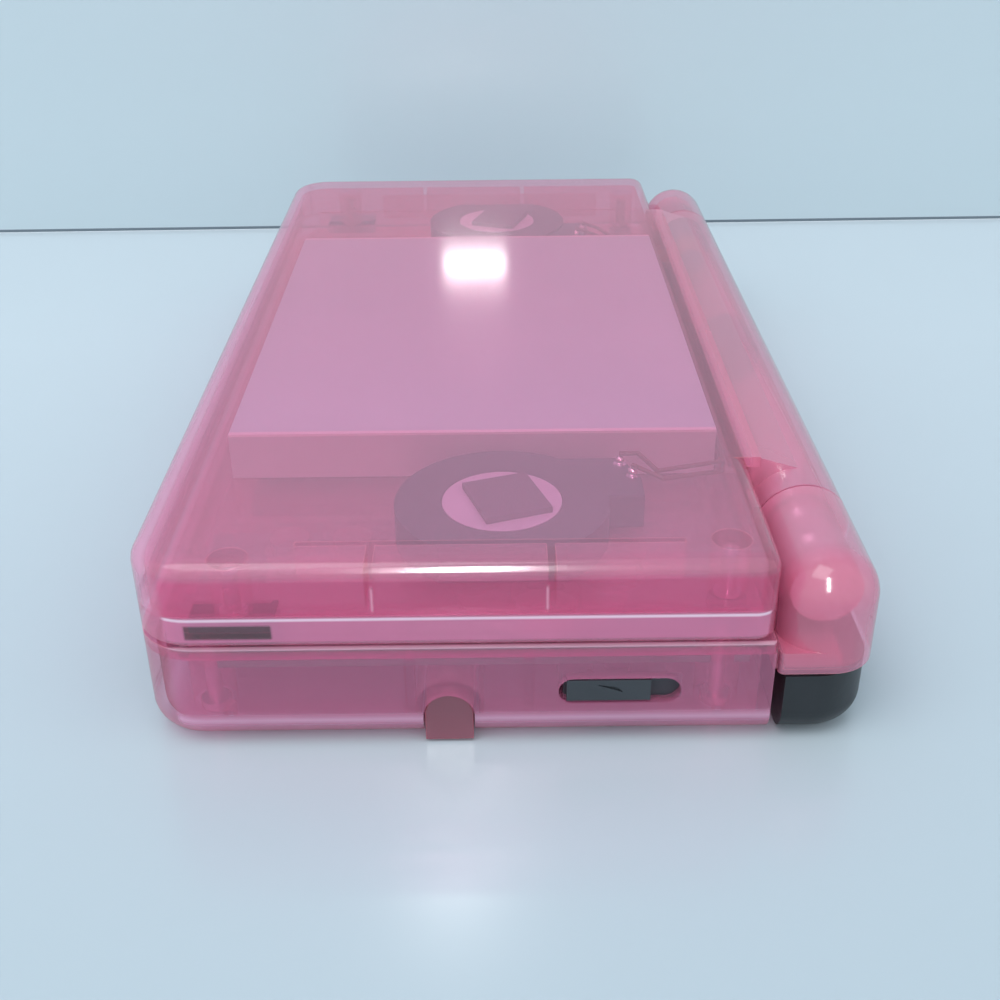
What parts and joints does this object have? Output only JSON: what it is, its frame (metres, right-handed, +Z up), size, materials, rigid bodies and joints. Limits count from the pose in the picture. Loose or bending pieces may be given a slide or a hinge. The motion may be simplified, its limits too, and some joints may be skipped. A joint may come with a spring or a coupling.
{
  "type": "clamshell handheld game console",
  "caption": "Closed clamshell handheld console with two screens, clear shells, hinged lid, sprung buttons, sliders, stylus and slot cover.",
  "frame": {"origin": "centre of the underside, on the surface the console rests on", "axes": "+X to the user's right, +Y to the hinge side, +Z up through the closed lid"},
  "size_m": [0.133, 0.0738, 0.0215],
  "materials": {
    "clear_pink": "clear pink, polished",
    "clear_window": "clear",
    "display_black": "dark glass",
    "diffuser_white": "satin",
    "shield_lavender": "satin",
    "speaker_dark": "satin",
    "speaker_metal": "satin",
    "foam_dark": "matte",
    "rubber_dark": "matte",
    "steel": "brushed",
    "screw_steel": "polished",
    "flex_amber": "satin",
    "wire_dark": "satin",
    "solder": "polished",
    "contact_gold": "satin",
    "black_plastic": "satin",
    "slider_grey": "satin",
    "board_green": "solder mask",
    "chip_black": "matte",
    "button_pink": "polished",
    "membrane_grey": "matte",
    "battery_grey": "satin"
  },
  "bodies": {
    "base": {"hinge_unit_body": "steel", "hinge_bush": "black_plastic", "base_top_case": "clear_pink", "base_bottom_case": "clear_pink", "battery_cover": "clear_pink", "battery": "battery_grey", "battery_contacts": "contact_gold", "battery_screw": "screw_steel", "case_screws": "screw_steel", "rubber_feet": "rubber_dark", "main_board": "board_green", "board_chips": "chip_black", "wireless_board": "board_green", "game_card_socket": "steel", "cartridge_socket": "black_plastic", "lower_display_panel": "display_black", "touch_panel": "clear_window", "direction_pad_membrane": "membrane_grey", "action_button_membrane": "membrane_grey", "start_select_membrane": "membrane_grey", "power_switch": "black_plastic", "volume_control": "black_plastic", "headphone_jack": "black_plastic", "charging_port": "steel", "shoulder_pins": "steel", "shoulder_springs": "steel", "shoulder_switches": "black_plastic", "indicator_light_pipes": "clear_window", "strap_bar": "steel"},
    "lid": {"lid_outer_cover": "clear_pink", "lid_inner_frame": "clear_pink", "upper_display_window": "clear_window", "upper_display_panel": "display_black", "upper_backlight": "diffuser_white", "upper_display_shield": "shield_lavender", "speaker_holder_right": "speaker_dark", "speaker_holder_left": "speaker_dark", "speaker_right": "speaker_metal", "speaker_left": "speaker_metal", "speaker_pads": "foam_dark", "speaker_terminals": "solder", "speaker_wires": "wire_dark", "microphone": "rubber_dark", "lid_bumpers": "rubber_dark", "lid_screws": "screw_steel", "display_ribbon": "flex_amber", "hinge_cam": "steel"},
    "direction_pad": {"direction_pad": "button_pink"},
    "button_rear": {"button_rear": "button_pink"},
    "button_right": {"button_right": "button_pink"},
    "button_front": {"button_front": "button_pink"},
    "button_left": {"button_left": "button_pink"},
    "start_button": {"start_button": "button_pink"},
    "select_button": {"select_button": "button_pink"},
    "power_slider": {"power_slider": "slider_grey"},
    "volume_slider": {"volume_slider": "slider_grey"},
    "shoulder_button_right": {"shoulder_button_right": "black_plastic"},
    "shoulder_button_left": {"shoulder_button_left": "black_plastic"},
    "stylus": {"stylus": "clear_pink"},
    "cartridge_slot_cover": {"cartridge_slot_cover": "clear_pink"}
  },
  "joints": [
    {"name": "lid_hinge", "type": "hinge", "parent": "base", "child": "lid", "pos_m": [0, 0.03185, 0.015], "axis": [-1, 0, 0], "range_deg": [0, 155]},
    {"name": "direction_pad_press", "type": "slide", "parent": "base", "child": "direction_pad", "axis": [0, 0, -1], "range_m": [0, 0.0008], "stiffness_N_per_m": 500, "springref_m": -0.0003, "deforming": ["direction_pad_membrane"]},
    {"name": "button_rear_press", "type": "slide", "parent": "base", "child": "button_rear", "axis": [0, 0, -1], "range_m": [0, 0.0008], "stiffness_N_per_m": 400, "springref_m": -0.0003, "deforming": ["action_button_membrane"]},
    {"name": "button_right_press", "type": "slide", "parent": "base", "child": "button_right", "axis": [0, 0, -1], "range_m": [0, 0.0008], "stiffness_N_per_m": 400, "springref_m": -0.0003},
    {"name": "button_front_press", "type": "slide", "parent": "base", "child": "button_front", "axis": [0, 0, -1], "range_m": [0, 0.0008], "stiffness_N_per_m": 400, "springref_m": -0.0003},
    {"name": "button_left_press", "type": "slide", "parent": "base", "child": "button_left", "axis": [0, 0, -1], "range_m": [0, 0.0008], "stiffness_N_per_m": 400, "springref_m": -0.0003},
    {"name": "start_button_press", "type": "slide", "parent": "base", "child": "start_button", "axis": [0, 0, -1], "range_m": [0, 0.0006], "stiffness_N_per_m": 400, "springref_m": -0.0003, "deforming": ["start_select_membrane"]},
    {"name": "select_button_press", "type": "slide", "parent": "base", "child": "select_button", "axis": [0, 0, -1], "range_m": [0, 0.0006], "stiffness_N_per_m": 400, "springref_m": -0.0003},
    {"name": "power_slide", "type": "slide", "parent": "base", "child": "power_slider", "axis": [0, 1, 0], "range_m": [0, 0.002], "stiffness_N_per_m": 200, "springref_m": -0.0005},
    {"name": "volume_slide", "type": "slide", "parent": "base", "child": "volume_slider", "axis": [1, 0, 0], "range_m": [-0.0022, 0.0022]},
    {"name": "shoulder_right_press", "type": "hinge", "parent": "base", "child": "shoulder_button_right", "pos_m": [0.0459, 0.03245, 0.005], "axis": [0, 0, -1], "range_deg": [0, 3], "stiffness_Nm_per_rad": 0.5, "springref_deg": -1.15},
    {"name": "shoulder_left_press", "type": "hinge", "parent": "base", "child": "shoulder_button_left", "pos_m": [-0.0459, 0.03245, 0.005], "axis": [0, 0, 1], "range_deg": [0, 3], "stiffness_Nm_per_rad": 0.5, "springref_deg": -1.15},
    {"name": "stylus_pull", "type": "slide", "parent": "base", "child": "stylus", "axis": [1, 0, 0], "range_m": [0, 0.089]},
    {"name": "slot_cover_pull", "type": "slide", "parent": "base", "child": "cartridge_slot_cover", "axis": [0, -1, 0], "range_m": [0, 0.022]}
  ]
}
